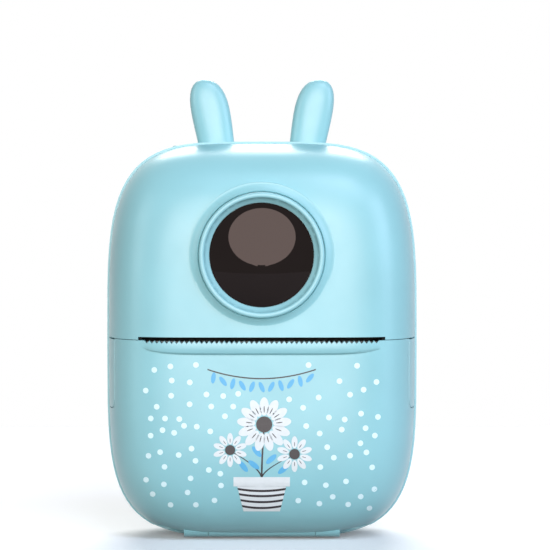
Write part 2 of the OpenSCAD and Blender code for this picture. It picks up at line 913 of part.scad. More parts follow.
// Head: a ceramic plate with its heater line at the contact, and its connector behind
module print_head() color(ink_black) at_head() {
    translate([-head_w / 2, -head_front, 0]) cube([head_w, head_len, head_t]);
    translate([-head_plug[0] / 2, head_plug_y, -head_plug[2]]) cube(head_plug);
}

// Bracket: a folded steel plate that carries the head and turns on its pin
module head_bracket() color(steel) at_head() difference() {
    union() {
        translate([-head_w / 2, -head_front, bracket_foot]) cube([head_w, bracket_len, bracket_t]);
        pair() {
            translate([head_spring_x, head_spring_y, bracket_t])
                cylinder(r = spring_peg_r, h = bracket_top - bracket_t);
            translate(head_pivot) rod_x(bracket_tube_r, head_w / 2 - bracket_tube_len, head_w / 2);
        }
    }
    translate(head_pivot) rod_x(pin_r + running, -far, far);
}

// ---------------------------------------------------------------- electronics

module main_board() color(board_green) {
    difference() {
        along_y(board_y, board_y + board_t) translate([0, (board_lo + board_hi) / 2])
            rounded(board_w, board_hi - board_lo, board_corner);
        for (p = board_posts) rod_y(board_screw_r + 0.35, p[0], p[1], board_y - over, inner_back_y);
        pair() rod_y(boss_r + 2 * sliding, shell_screw_x, shell_screw_z, board_y - over, inner_back_y);
    }
}

// Tactile switches behind the keys, soldered to the main board
module key_switches() color(grey_plastic) {
    switch_foot = board_y + board_t;
    for (p = key_places) {
        translate([p[0] - switch_w / 2, switch_foot, p[1] - switch_w / 2])
            cube([switch_w, switch_top - key_travel - sliding - switch_foot, switch_w]);
        rod_y(switch_cap_r, p[0], p[1], switch_foot, switch_top);
    }
}

module battery() color(steel)
    translate([battery_x - battery_w / 2, board_y - battery_t - fit, battery_z - battery_h / 2])
        cube([battery_w, battery_t, battery_h]);

module lcd_panel() color(ink_black) {
    translate([-(screen_w + lcd_edge) / 2, inner_back_y - lcd_t - 2 * fit,
        screen_z - (screen_h + lcd_edge) / 2])
        cube([screen_w + lcd_edge, lcd_t, screen_h + lcd_edge]);
}

module screen_window() color(ink_black) {
    along_y(back_y - panel_t, back_y) translate([0, screen_z])
        rounded(screen_w + 2 * panel_margin, screen_h + 2 * panel_margin, panel_corner - fit);
}

module speaker() color(ink_black)
    translate([-speaker_w / 2, inner_back_y - speaker_t - speaker_gap, speaker_z - speaker_h / 2])
        cube([speaker_w, speaker_t, speaker_h]);

// Switch under the shutter button, on its bracket from the rear shell
module shutter_switch() color(grey_plastic)
    translate([shutter_x - shutter_switch_w / 2, shutter_y, 0]) {
        switch_z = shutter_shelf - shutter_travel - 1.2;
        translate([0, -shutter_switch_w / 2, switch_z - 2]) cube([shutter_switch_w, shutter_switch_w, 2]);
        translate([shutter_switch_w / 2, 0, switch_z]) cylinder(r = switch_cap_r * 2, h = 1);
        translate([0, -4, switch_z - 3]) cube([shutter_switch_w, board_y - shutter_y + 4 - running, 1]);
        translate([0, board_y - shutter_y - 1 - running, board_hi - 4])
            cube([shutter_switch_w, 1, shutter_shelf - board_hi]);
    }

module port_board() color(board_green)
    translate([port_x - port_wall - fit - port_board_w, port_y - card_h - 0.6, port_z - 11])
        cube([port_board_w, 1, port_board_h]);

module usb_socket() color(steel)
    along_x(port_x - usb_len, port_x) translate([port_y, port_z - usb_dz]) rotate(90) {
        difference() {
            rounded(usb_w, usb_h, usb_h / 2 - running);
            rounded(usb_w - 2 * usb_wall, usb_h - 2 * usb_wall, usb_h / 2 - usb_wall - running);
        }
        rounded(6.7, 0.7, 0.2);
    }

module card_socket() color(steel)
    translate([port_x - card_len, port_y - card_h + 0.5, port_z + 0.3]) difference() {
        cube([card_len, card_h, card_w]);
        translate([over, 3.5, 0.6]) cube([card_len, card_slot_h, card_w - 1.2]);
    }

module strap_bar() color(steel) strap_rod(strap_bar_r, strap_bar_hold);

// Upright rod through the strap's pocket, which runs on into the wall at both ends
module strap_rod(r, hold) {
    h = strap_pocket_h + 2 * hold;
    translate([-half_w + strap_bar_inset, strap_y, strap_z - h / 2]) cylinder(r = r, h = h);
}

// Pocket behind the strap bar, open to the side
module strap_pocket(grow) {
    translate([-half_w - over, strap_y - strap_pocket_w / 2 - grow, strap_z - strap_pocket_h / 2 - grow])
        cube([over + strap_pocket_d + grow, strap_pocket_w + 2 * grow, strap_pocket_h + 2 * grow]);
}

// Pocket round the sockets, under the port cover
module port_pocket(grow) {
    depth = half_w - port_x;
    translate([port_x - grow, port_y - port_w / 2 - grow, port_z - port_h / 2 - grow])
        cube([depth + over + grow, port_w + 2 * grow, port_h + 2 * grow]);
}

// Walls of that pocket, with a window for each socket
module port_walls() {
    difference() {
        port_pocket(port_wall);
        along_x(port_x - 3, port_x + over) translate([port_y, port_z - usb_dz]) rotate(90)
            rounded(usb_w + 2 * sliding, usb_h + 2 * sliding, usb_h / 2);
        translate([port_x - 3, port_y - card_h + 0.4, port_z + 0.2])
            cube([4, card_h + 2 * fit, card_w + 2 * fit]);
    }
}

// Pan-head screw along Y: its thread from y0 to the head's seat at y1
module screw(x, z, y0, y1) {
    difference() {
        union() {
            rod_y(screw_r, x, z, y0, y1 + fit);
            rod_y(screw_head_r, x, z, y1, y1 + screw_head_h);
        }
        rod_y(screw_socket_r, x, z, y1 + screw_head_h / 2, y1 + 2 * screw_head_h);
    }
}

module shell_screws() color(steel) {
    pair() {
        screw(shell_screw_x, shell_screw_z, boss_back - 7, part_y + well_floor);
        screw(frame_screw_x, frame_screw_z, lug_back - 4.5, part_y + frame_well_floor);
    }
    for (p = board_posts) {
        rod_y(board_screw_r, p[0], p[1], board_y, board_y + board_t + 2.2);
        rod_y(board_head_r, p[0], p[1], board_y - 0.9, board_y);
    }
}

module hinge_pin() color(steel) at_hinge()
    rod_x(pin_r, -barrel_w / 2 - knuckle_w, barrel_w / 2 + knuckle_w);

// ---------------------------------------------------------------- keys

// Round key: a shaft through the shell and a flange behind it
module round_key(place, r) {
    rod_y(r, place[0], place[1], inner_back_y - fit - key_flange_t / 2, back_y + key_proud);
    rod_y(r + min(key_flange, pad_gap - sliding), place[0], place[1],
        inner_back_y - fit - key_flange_t, inner_back_y - fit);
}

// Quarter of the pad ring, towards angle a
module pad_quarter(a, rim) {
    intersection() {
        difference() {
            circle(pad_ring_r + rim);
            circle(pad_ok_r + pad_gap);
        }
        rotate(a) polygon([[pad_slot, 0], [far, far - pad_slot], [far, pad_slot - far]]);
    }
}

module pad_key(a) {
    along_y(inner_back_y - fit - key_flange_t / 2, back_y + key_proud)
        translate([0, pad_z]) pad_quarter(-a, 0);
    along_y(inner_back_y - fit - key_flange_t, inner_back_y - fit)
        translate([0, pad_z]) pad_quarter(-a, key_flange);
}

module key_holes() {
    for (p = side_keys) rod_y(key_r + sliding, p[0], p[1], inner_back_y - over, back_y + over);
    rod_y(pad_ring_r + sliding, 0, pad_z, inner_back_y - over, back_y + over);
}

module key_ok() color(button_white) round_key([0, pad_z], pad_ok_r);

module key_up() color(button_white) pad_key(-90);

module key_down() color(button_white) pad_key(90);

module key_left() color(button_white) pad_key(180);

module key_right() color(button_white) pad_key(0);

module key_menu() color(button_white) round_key(side_keys[0], key_r);

module key_play() color(button_white) round_key(side_keys[1], key_r);

module key_print() color(button_white) round_key(side_keys[2], key_r);

module key_power() color(button_white) round_key(side_keys[3], key_r);

module shutter_button() color(button_white) translate([shutter_x, shutter_y, 0]) {
    neck = shutter_top - shutter_chamfer - shutter_shelf;
    translate([0, 0, shutter_shelf]) cylinder(r = shutter_r, h = neck);
    translate([0, 0, shutter_shelf + neck])
        cylinder(r1 = shutter_r, r2 = shutter_r - shutter_chamfer, h = shutter_chamfer);
    translate([0, 0, shutter_shelf - sliding]) cylinder(r = shutter_r + shutter_rim, h = shutter_flange_t);
}

// ---------------------------------------------------------------- paper door

module paper_door() color(shell_aqua) {
    difference() {
        union() {
            difference() {
                intersection() {
                    front_hollow();
                    door_space(0);
                }
                release_openings();
                door_hinge_cuts();
            }
            door_lip();
            door_knuckles();
            carrier_bosses();
        }
        tear_notches();
        at_hinge() rod_x(pin_r + running, -barrel_w, barrel_w);
        pair()
            rod_y(carrier_screw_r + running, carrier_screw_x, carrier_screw_z, face_y + wall + 0.6, part_y);
    }
}

// The door leaves room for the fixed barrel
module door_hinge_cuts() {
    half = barrel_w / 2 + fit;
    at_hinge() rod_x(knuckle_r + swing_gap, -half, half);
    box([-half, hinge_y, -over], [half, part_y + over, hinge_z + knuckle_r + swing_gap]);
}

module door_knuckles() {
    pair() at_hinge() rod_x(knuckle_r, barrel_w / 2 + fit, barrel_w / 2 + knuckle_w);
}

// Lip under the slot: a rounded bulge that fades out at its ends and lower edge
module door_lip() {
    columns = 44;
    rows = 7;
    loft([for (i = [0:columns]) let(u = -1 + 2 * i / columns, x = lip_w / 2 * u)
        let(low = door_h - lip_h + lip_h * 0.42 * pow(abs(u), 7), high = door_h)
        concat([for (k = [0:rows]) let(s = k / rows, z = low + (high - low) * s)
            [x, part_y - front_height(x, z, reveal)
                - lip_proud * sqrt(1 - pow(abs(u), 6)) * sqrt(1 - pow(abs(s * 1.5 - 1), 2.6))
                + spring_play, z]],
            [[x, part_y - front_height(x, high, reveal) + lip_inset, high],
                [x, part_y - front_height(x, low, reveal) + lip_inset, low]])], true);
}

// Saw-tooth cut along the top edge
module tear_notches() {
    count = floor((slot_w - 2) / tooth_pitch);
    start = -count * tooth_pitch / 2;
    along_y(-far, part_y - 8) polygon(concat(
        [for (i = [0:count - 1]) each [[start + i * tooth_pitch, door_h],
            [start + (i + 0.5) * tooth_pitch, door_h - tooth_depth]]],
        [[start + count * tooth_pitch, door_h], [start + count * tooth_pitch, door_h + over],
            [start, door_h + over]]));
}

// Bosses inside the door that carry the platen's frame
module carrier_bosses() {
    pair() rod_y(carrier_boss_r, carrier_screw_x, carrier_screw_z, face_y + wall * 0.7, carrier_y);
}

// Frame across the door: a bar, two arms and the seats of the platen's bushes
module platen_carrier() color(ink_black) {
    difference() {
        union() {
            box([-carrier_half, carrier_y, arm_foot_z],
                [carrier_half, carrier_y + carrier_t, platen_z - platen_r - arm_drop]);
            box([-plate_out, arm_front, arm_foot_z], [plate_out, platen_y + 1.5, arm_foot_z + carrier_t]);
            box([-carrier_half, carrier_y, arm_foot_z],
                [carrier_half, arm_front + over, arm_foot_z + carrier_t]);
            pair() along_x(plate_x, plate_out) {
                translate([platen_y, platen_z]) circle(arm_r);
                translate([arm_front, arm_foot_z]) square([arm_r + 5, platen_z - arm_foot_z]);
            }
        }
        at_platen() rod_x(bush_r, -far, far);
        pair() {
            rod_y(carrier_screw_r + fit, carrier_screw_x, carrier_screw_z, carrier_y - over, part_y);
            rod_y(carrier_head_r + 0.3, carrier_screw_x, carrier_screw_z, carrier_y + carrier_t, part_y);
        }
    }
}

module carrier_screws() color(steel) {
    seat = carrier_y + carrier_t;
    pair() difference() {
        union() {
            rod_y(carrier_screw_r, carrier_screw_x, carrier_screw_z, carrier_y - 1.9, seat + fit);
            rod_y(carrier_head_r, carrier_screw_x, carrier_screw_z, seat, seat + carrier_head_h);
        }
        rod_y(screw_socket_r, carrier_screw_x, carrier_screw_z,
            seat + carrier_head_h / 2, seat + 2 * carrier_head_h);
    }
}

module platen_bushes() color(brass_gold) pair() at_platen() difference() {
    union() {
        rod_x(bush_r, plate_x, plate_out);
        rod_x(bush_r + bush_rim, plate_x - bush_rim_t, plate_x);
    }
    rod_x(shaft_r + running, 0, far);
}

// Outline of the release button's opening, in the YZ plane, open at the door's top edge
module release_outline(grow) {
    r = release_corner;
    translate([release_y, release_lo + r]) {
        for (s = [-1, 1]) translate([s * (release_w / 2 - r), 0]) circle(r + grow);
        translate([-release_w / 2 + r, -r - grow]) square([release_w - 2 * r, 2 * r]);
        translate([-release_w / 2 - grow, 0])
            square([release_w + 2 * grow, door_h - release_lo - r + 2 * grow]);
    }
}

module release_openings() {
    pair() along_x(half_w - 8, half_w + over) release_outline(sliding);
}

// Release button: a piece of the door's wall, a block behind its foot and a pocket for the spring
module release() {
    difference() {
        union() {
            intersection() {
                difference() {
                    front_half(reveal);
                    front_half(reveal + wall, 48, 8, -over);
                }
                along_x(half_w - 8, half_w) intersection() {
                    release_outline(0);
                    union() {
                        translate([hinge_y - far, 0]) square([far, door_h - sliding]);
                        translate([hinge_y, hinge_z]) circle(door_h - hinge_z - sliding, $fn = 192);
                    }
                }
            }
            release_block();
            along_x(release_flange_x - release_flange_t, release_flange_x + fit)
                translate([release_y - release_w / 2 + 0.4, release_lo - 0.8])
                square([release_w + 0.4, release_block_h + 0.8]);
        }
        translate([0, release_y, release_lo + release_block_h / 2])
            rod_x(spring_pocket_r, 0, release_flange_x + spring_pocket_d);
    }
}

// Block behind the foot of the button; its outer face follows the wall
module release_block() {
    y0 = release_y - release_w / 2 + 0.8;
    y1 = release_y + release_w / 2 - 0.8;
    x1 = half_w - reveal - wall / 2;
    translate([0, 0, release_lo + 0.6]) linear_extrude(release_block_h - 0.6)
        polygon([[release_flange_x, y0], [x1 - 1.9, y0], [x1, y1], [release_flange_x, y1]]);
}

module release_left() color(shell_aqua) mirror([1, 0, 0]) release();

module release_right() color(shell_aqua) release();

module release_spring() {
    room = release_flange_x + spring_pocket_d - plate_out;
    translate([plate_out + spring_play, release_y, release_lo + release_block_h / 2]) rotate([0, 90, 0])
        coil(release_spring_r, release_wire_r, room - 2 * spring_play, 4);
}

module release_spring_left() color(steel) mirror([1, 0, 0]) release_spring();

module release_spring_right() color(steel) release_spring();

// ---------------------------------------------------------------- rollers and gears

module platen_shaft() color(steel) at_platen() rod_x(shaft_r, gear_x, plate_out + plate_gap);

module platen_rubber() color(rubber_black) at_platen() difference() {
    rod_x(platen_r, -plate_x + plate_gap, plate_x - plate_gap);
    rod_x(shaft_r, -far, far);
}

module platen_gear() color(button_white)
    gear(platen_teeth, platen_y, platen_z, idler_dir, shaft_r + press_play);

module idler_gear() color(button_white)
    gear(idler_teeth, idler_y, idler_z, idler_turn, gear_pin_r + running);

module motor_pinion() color(brass_gold)
    gear(pinion_teeth, motor_y, motor_z, pinion_turn, motor_shaft_r + running);

module paper_roll() color(paper_white) translate([0, bay_y, roll_z]) difference() {
    rod_x(roll_r, -paper_w / 2, paper_w / 2);
    rod_x(core_r, -far, far);
}

module roll_core() color(grey_plastic) translate([0, bay_y, roll_z]) difference() {
    rod_x(core_r, -paper_w / 2 - fit, paper_w / 2 + fit);
    rod_x(core_r - core_t, -far, far);
}

// ---------------------------------------------------------------- port cover

module port_cover() color(shell_aqua) {
    difference() {
        intersection() {
            difference() {
                rear_half(0);
                rear_half(cover_t, 48, 7);
            }
            union() {
                translate([half_w - 6, port_y - cover_half, cover_pin_z])
                    cube([8, 2 * cover_half, port_z + port_h / 2 - sliding - cover_pin_z]);
                rod_y(cover_tail_r, cover_pin_x, cover_pin_z, port_y - cover_half, port_y + cover_half);
            }
        }
        rod_y(nail_notch_r, half_w + 2, port_z + port_h / 2, port_y - nail_notch_r, port_y + nail_notch_r);
    }
    rod_y(cover_barrel_r, cover_pin_x, cover_pin_z, port_y - cover_half, port_y + cover_half);
    cover_pins(cover_pin_r, cover_pin_reach);
}

// Stubs at the foot of the cover, in holes beside its pocket
module cover_pins(r, reach) {
    rod_y(r, cover_pin_x, cover_pin_z, port_y - port_w / 2 - reach, port_y + port_w / 2 + reach);
}

// ---------------------------------------------------------------- what is drawn

front_shell();
rear_shell();
ear_left();
ear_right();
lens_ring();
lens_window();
lens_barrel();
sensor_board();
bay_frame();
motor();
idler_pin();
head_pin();
main_board();
key_switches();
battery();
lcd_panel();
screen_window();
port_board();
usb_socket();
card_socket();
speaker();
shutter_switch();
shell_screws();
hinge_pin();
strap_bar();
head_spring_left();
head_spring_right();
print_head();
head_bracket();
paper_door();
platen_carrier();
carrier_screws();
platen_bushes();
release_spring_left();
release_spring_right();
release_left();
release_right();
platen_shaft();
platen_rubber();
platen_gear();
idler_gear();
motor_pinion();
paper_roll();
roll_core();
port_cover();
shutter_button();
key_ok();
key_up();
key_down();
key_left();
key_right();
key_menu();
key_play();
key_print();
key_power();
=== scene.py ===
"""Finishes an instant print camera: moulded casings, a printed paper door, marked keys and a studio."""

import json
import math
import random

import bpy
from bpy.props import FloatProperty, FloatVectorProperty, IntProperty, PointerProperty
from bpy.types import Operator, Panel, PropertyGroup
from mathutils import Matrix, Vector

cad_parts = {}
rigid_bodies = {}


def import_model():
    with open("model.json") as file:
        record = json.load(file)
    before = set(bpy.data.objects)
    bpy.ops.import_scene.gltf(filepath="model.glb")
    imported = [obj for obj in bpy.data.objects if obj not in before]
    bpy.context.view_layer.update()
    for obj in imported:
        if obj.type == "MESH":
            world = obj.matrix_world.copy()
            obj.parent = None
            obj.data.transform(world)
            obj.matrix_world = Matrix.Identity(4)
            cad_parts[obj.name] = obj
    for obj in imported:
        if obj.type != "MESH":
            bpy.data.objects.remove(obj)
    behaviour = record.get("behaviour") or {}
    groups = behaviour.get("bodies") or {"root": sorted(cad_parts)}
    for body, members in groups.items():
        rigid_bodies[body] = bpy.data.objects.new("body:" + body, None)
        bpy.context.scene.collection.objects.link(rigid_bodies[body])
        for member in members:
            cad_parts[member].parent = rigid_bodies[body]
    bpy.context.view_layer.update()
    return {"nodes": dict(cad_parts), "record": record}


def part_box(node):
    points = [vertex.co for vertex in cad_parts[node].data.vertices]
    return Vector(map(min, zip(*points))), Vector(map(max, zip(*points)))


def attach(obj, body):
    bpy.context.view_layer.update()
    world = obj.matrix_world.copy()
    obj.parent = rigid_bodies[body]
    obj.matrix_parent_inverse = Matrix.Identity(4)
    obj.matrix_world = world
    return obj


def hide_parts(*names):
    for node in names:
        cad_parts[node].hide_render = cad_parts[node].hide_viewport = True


bl_info = {
    "name": "Instant Camera Finish",
    "version": (1, 0, 0),
    "blender": (4, 5, 0),
    "location": "3D View > Sidebar > Camera",
    "description": "Builds an instant print camera's moulded skins, door print, key marks and studio",
    "category": "Object",
}

for startup_object in list(bpy.data.objects):
    bpy.data.objects.remove(startup_object)
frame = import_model()
MM = 0.001
# The wave texture's phase runs 20 times as fast as its coordinate.
WAVES_PER_UNIT = 20

# The casing's two halves: superellipses in the XZ plane that close towards the front and the back.
CASE_MIDDLE_Z = 46.5
CASE_CORNER_POWER = 4.1
CASE_PART_Y = -2.0
FRONT_CASE = {
    "half_width": 37.5, "up": 50.0, "down": 46.3,
    "depth": -17.0, "fullness": 6.0, "round": 2.2,
}
REAR_CASE = {
    "half_width": 38.0, "up": 50.5, "down": 46.8,
    "depth": 23.1, "fullness": 9.0, "round": 2.6,
}
# A corner is shaded by that curve if it lies this near to it, and its facet leans no further from it.
CASE_REACH_MM = 0.12
CASE_LEAN_COSINE = 0.96


def linear(colour):
    """An sRGB hex colour as the linear RGBA that shaders take."""
    parts = [int(colour[i : i + 2], 16) / 255 for i in (0, 2, 4)]
    return [c / 12.92 if c <= 0.04045 else ((c + 0.055) / 1.055) ** 2.4 for c in parts] + [1.0]


def per_mm(size_mm):
    """The texture scale at which one repeat of a pattern is size_mm across."""
    return 1 / (size_mm * MM)


# ---------------------------------------------------------------------------------- user settings


def colour_setting(name, description, colour):
    """One colour among the user settings."""
    return FloatVectorProperty(
        name=name, description=description, subtype="COLOR", size=4, min=0, max=1, default=linear(colour)
    )


def lamp_setting(name, description, strength):
    """One lamp's strength among the user settings."""
    return FloatProperty(name=name, description=description, min=0, default=strength)


def length_setting(name, description, low, high, length):
    """One length among the user settings."""
    return FloatProperty(
        name=name, description=description, unit="LENGTH", min=low, max=high, default=length
    )


class CameraFinishes(PropertyGroup):
    """Colours of the moulded parts and of the printed inks."""

    casing: colour_setting("Casing", "Colour of the shells, the door, the ears and the covers", "8EC4CA")
    keys: colour_setting("Keys", "Colour of the round keys and the four-way pad", "F1F3F2")
    ink_light: colour_setting("Light ink", "Ink of the petals and of the pot", "E0E4E4")
    ink_dark: colour_setting("Dark ink", "Ink of the flower hearts, the stems and the bands", "2B2224")
    ink_blue: colour_setting("Blue ink", "Ink of the leaves and of the garland's leaves", "58ADD8")
    ink_dots: colour_setting("Dot ink", "Thin white ink of the scattered dots", "DFF7FA")


class CameraPrint(PropertyGroup):
    """Sizes of the print on the paper door."""

    dot_diameter: length_setting("Dot diameter", "Width of one printed dot", 0.0005, 0.004, 0.00138)
    dot_count: IntProperty(
        name="Dots", description="How many dots are scattered over the door", min=1, max=200, default=76
    )
    dot_seed: IntProperty(
        name="Dot layout", description="Start of the dots' random layout", min=0, default=11
    )
    ink_lift: length_setting(
        "Ink lift", "How far the ink stands off the plastic", 0.00001, 0.0002, 0.00003
    )


class CameraStudio(PropertyGroup):
    """The camera's place and the lamps' strength."""

    focal_length: FloatProperty(
        name="Focal length", description="Lens of the studio camera, in millimetres",
        min=20, max=400, default=200,
    )
    view_width: length_setting("View width", "Width of the picture at the object", 0.05, 1, 0.1335)
    view_height: FloatProperty(
        name="View angle", description="How far the camera looks down",
        unit="ROTATION", min=-1.5, max=1.5, default=math.radians(3),
    )
    front_lamp: lamp_setting("Front lamp", "Watts of the oval softbox before the object", 16)
    high_lamp: lamp_setting("High lamp", "Watts of the softbox high on the right", 9)
    right_lamp: lamp_setting("Right lamp", "Watts of the softbox on the right", 10)
    left_lamp: lamp_setting("Left lamp", "Watts of the softbox on the left", 3.5)
    overhead: lamp_setting("Overhead", "Wide light from above and behind, in W/m2", 2.9)
    room: lamp_setting("Room light", "Strength of the light from all round", 0.05)


# ---------------------------------------------------------------------------------------- finishes


def add_node(tree, kind, settings=None, links=None):
    """Adds one shader node, sets its sockets and properties, and links sources to its sockets."""
    made = tree.nodes.new(kind)
    for key, value in (settings or {}).items():
        if key in made.inputs:
            made.inputs[key].default_value = value
        else:
            setattr(made, key, value)
    for key, source in (links or {}).items():
        tree.links.new(source, made.inputs[key])
    return made


def finish(name, constants, pattern):
    """A material whose shader has constant sockets, and the linked ones that pattern() returns."""
    material = bpy.data.materials.new(name)
    material.use_nodes = True
    tree = material.node_tree
    tree.nodes.clear()
    place = add_node(tree, "ShaderNodeTexCoord").outputs["Object"]
    links = pattern(tree, place)
    shader = add_node(tree, "ShaderNodeBsdfPrincipled", constants, links)
    add_node(tree, "ShaderNodeOutputMaterial", None, {"Surface": shader.outputs["BSDF"]})
    return material


def cloud(tree, place, size_mm, detail):
    """Soft noise whose blotches are size_mm across."""
    settings = {"Scale": per_mm(size_mm), "Detail": detail}
    return add_node(tree, "ShaderNodeTexNoise", settings, {"Vector": place}).outputs["Fac"]


def between(tree, noise, low, high):
    """A number that runs from low to high over the middle part of a noise."""
    settings = {"From Min": 0.3, "From Max": 0.7, "To Min": low, "To Max": high}
    return add_node(tree, "ShaderNodeMapRange", settings, {"Value": noise}).outputs["Result"]


def bump(tree, height, height_mm, strength):
    """The normal of a relief height_mm deep."""
    settings = {"Strength": strength, "Distance": height_mm * MM}
    return add_node(tree, "ShaderNodeBump", settings, {"Height": height}).outputs["Normal"]


def mottle(tree, place, colour, other, size_mm):
    """A colour that drifts between two close tones over size_mm."""
    noise = cloud(tree, place, size_mm, 3.0)
    ramp = add_node(tree, "ShaderNodeValToRGB", None, {"Fac": noise})
    ramp.color_ramp.elements[0].position, ramp.color_ramp.elements[1].position = 0.35, 0.65
    ramp.color_ramp.elements[0].color = colour
    ramp.color_ramp.elements[1].color = other
    return ramp.outputs["Color"]


def varied(tree, place, low, high, size_mm):
    """A number that wanders between low and high over size_mm."""
    return between(tree, cloud(tree, place, size_mm, 4.0), low, high)


def grain(tree, place, size_mm, height_mm, strength=0.3):
    """The bump of a fine texture whose grains are size_mm across and height_mm deep."""
    return bump(tree, cloud(tree, place, size_mm, 2.0), height_mm, strength)


def shade(colour, factor):
    """A linear colour made lighter or darker."""
    return [min(1, c * factor) for c in colour[:3]] + [1.0]


def moulded_abs(name, colour, roughness=0.36, lacquer=0.0):
    """ABS, injection moulded in a spark-eroded tool: an even sheen with a faint pebbled skin.

    The real grain is about 0.1 mm; it is drawn 0.45 mm wide, so that it just shows. Lacquer is the
    share of a thin satin coat over it.
    """

    def pattern(tree, place):
        return {
            "Base Color": mottle(tree, place, shade(colour, 0.975), shade(colour, 1.025), 16),
            "Roughness": varied(tree, place, roughness - 0.03, roughness + 0.03, 5),
            "Normal": grain(tree, place, 0.45, 0.012),
        }

    return finish(name, {"IOR": 1.53, "Coat Weight": lacquer, "Coat Roughness": 0.3}, pattern)


def polished_acrylic():
    """Acrylic, polished and backed with black: clean reflections, tinted warm by its coating."""

    def pattern(tree, place):
        return {
            "Base Color": mottle(tree, place, linear("060505"), linear("090707"), 9),
            "Roughness": varied(tree, place, 0.008, 0.016, 8),
        }

    constants = {"IOR": 1.49, "Specular IOR Level": 0.22, "Specular Tint": linear("FFE2DC")}
    return finish("polished acrylic, black backed", constants, pattern)


def screen_glass():
    """Float glass over a black mask, polished: deep black, sharp reflections, a trace of smears."""

    def pattern(tree, place):
        return {
            "Base Color": mottle(tree, place, linear("08090B"), linear("0D0F12"), 12),
            "Roughness": varied(tree, place, 0.02, 0.07, 7),
        }

    constants = {"IOR": 1.52, "Specular IOR Level": 0.4}
    return finish("polished glass over a black mask", constants, pattern)


def moulded_acetal(name, colour):
    """Acetal, injection moulded: waxy white, half gloss, with soft flow marks."""

    def pattern(tree, place):
        return {
            "Base Color": mottle(tree, place, shade(colour, 0.95), shade(colour, 1.0), 4),
            "Roughness": varied(tree, place, 0.3, 0.38, 2),
            "Normal": grain(tree, place, 0.5, 0.006),
        }

    return finish(name, {"IOR": 1.48}, pattern)


def ground_steel():
    """Steel, ground and zinc plated: bright, with fine grinding lines along its length."""

    def pattern(tree, place):
        lines = {"Scale": (per_mm(6), per_mm(0.25), per_mm(0.25))}
        lined = add_node(tree, "ShaderNodeMapping", lines, {"Vector": place})
        noise = add_node(
            tree, "ShaderNodeTexNoise", {"Scale": 1.0, "Detail": 4.0},
            {"Vector": lined.outputs["Vector"]},
        ).outputs["Fac"]
        return {
            "Base Color": mottle(tree, place, linear("B9BDC0"), linear("C8CBCC"), 3),
            "Roughness": between(tree, noise, 0.2, 0.36),
            "Normal": bump(tree, noise, 0.01, 0.25),
        }

    return finish("ground steel, zinc plated", {"Metallic": 1.0}, pattern)


def turned_brass():
    """Brass, turned and hobbed: warm yellow with fine tool marks."""

    def pattern(tree, place):
        return {
            "Base Color": mottle(tree, place, linear("C9A25A"), linear("D8B46C"), 2),
            "Roughness": varied(tree, place, 0.22, 0.36, 0.6),
            "Normal": grain(tree, place, 0.3, 0.008),
        }

    return finish("turned brass", {"Metallic": 1.0}, pattern)


def solder_mask():
    """Glass-epoxy board under green solder mask, with copper tracks showing as paler lines."""

    def pattern(tree, place):
        cells = add_node(
            tree, "ShaderNodeTexBrick",
            {
                "Scale": per_mm(6), "Mortar Size": 0.035,
                "Color1": linear("1C5A3C"), "Color2": linear("1F6343"), "Mortar": linear("2E8058"),
            },
            {"Vector": place},
        )
        return {
            "Base Color": cells.outputs["Color"],
            "Roughness": varied(tree, place, 0.25, 0.35, 3),
            "Normal": grain(tree, place, 0.8, 0.01),
        }

    return finish("solder-masked glass epoxy", {"IOR": 1.55}, pattern)


def foil_pouch():
    """Aluminium-laminate pouch, heat sealed: dull silver with shallow wrinkles about 4 mm apart."""

    def pattern(tree, place):
        return {
            "Base Color": mottle(tree, place, linear("A9ADB1"), linear("BFC2C5"), 5),
            "Roughness": varied(tree, place, 0.34, 0.5, 3),
            "Normal": grain(tree, place, 4, 0.12, 0.6),
        }

    return finish("laminated foil pouch", {"Metallic": 1.0}, pattern)


def glazed_alumina():
    """Alumina with a glass glaze: off-white and shiny, the print head's face."""

    def pattern(tree, place):
        return {
            "Base Color": mottle(tree, place, linear("D9D2C4"), linear("E2DCD0"), 3),
            "Roughness": varied(tree, place, 0.08, 0.16, 2),
        }

    return finish("glazed alumina", {"IOR": 1.6}, pattern)


def ground_rubber():
    """Silicone rubber, ground to size: matt charcoal with a fine peel of marks 0.3 mm apart."""

    def pattern(tree, place):
        return {
            "Base Color": mottle(tree, place, linear("2A2B2D"), linear("343537"), 2),
            "Roughness": varied(tree, place, 0.62, 0.78, 1),
            "Normal": grain(tree, place, 0.3, 0.03),
        }

    return finish("ground silicone rubber", {"IOR": 1.42}, pattern)


def wound_paper():
    """Thermal paper, wound: smooth bluish white, its turns showing as fine rings on the ends.

    The paper is 0.06 mm thick; light and dark rings are drawn 0.5 mm wide, so that they show.
    """

    def pattern(tree, place):
        low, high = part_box("paper_roll")
        centred = add_node(
            tree, "ShaderNodeMapping", {"Location": [-c for c in (low + high) / 2]}, {"Vector": place}
        )
        rings = add_node(
            tree, "ShaderNodeTexWave",
            {
                "wave_type": "RINGS", "rings_direction": "X",
                "Scale": per_mm(0.5) / WAVES_PER_UNIT * math.pi, "Distortion": 0.6,
            },
            {"Vector": centred.outputs["Vector"]},
        )
        tone = add_node(tree, "ShaderNodeValToRGB", None, {"Fac": rings.outputs["Fac"]})
        tone.color_ramp.elements[0].color = linear("CDD1D6")
        tone.color_ramp.elements[1].color = linear("DFE2E5")
        return {
            "Base Color": tone.outputs["Color"],
            "Roughness": varied(tree, place, 0.5, 0.62, 3),
            "Normal": grain(tree, place, 0.4, 0.01),
        }

    return finish("coated thermal paper, wound", {"IOR": 1.5}, pattern)


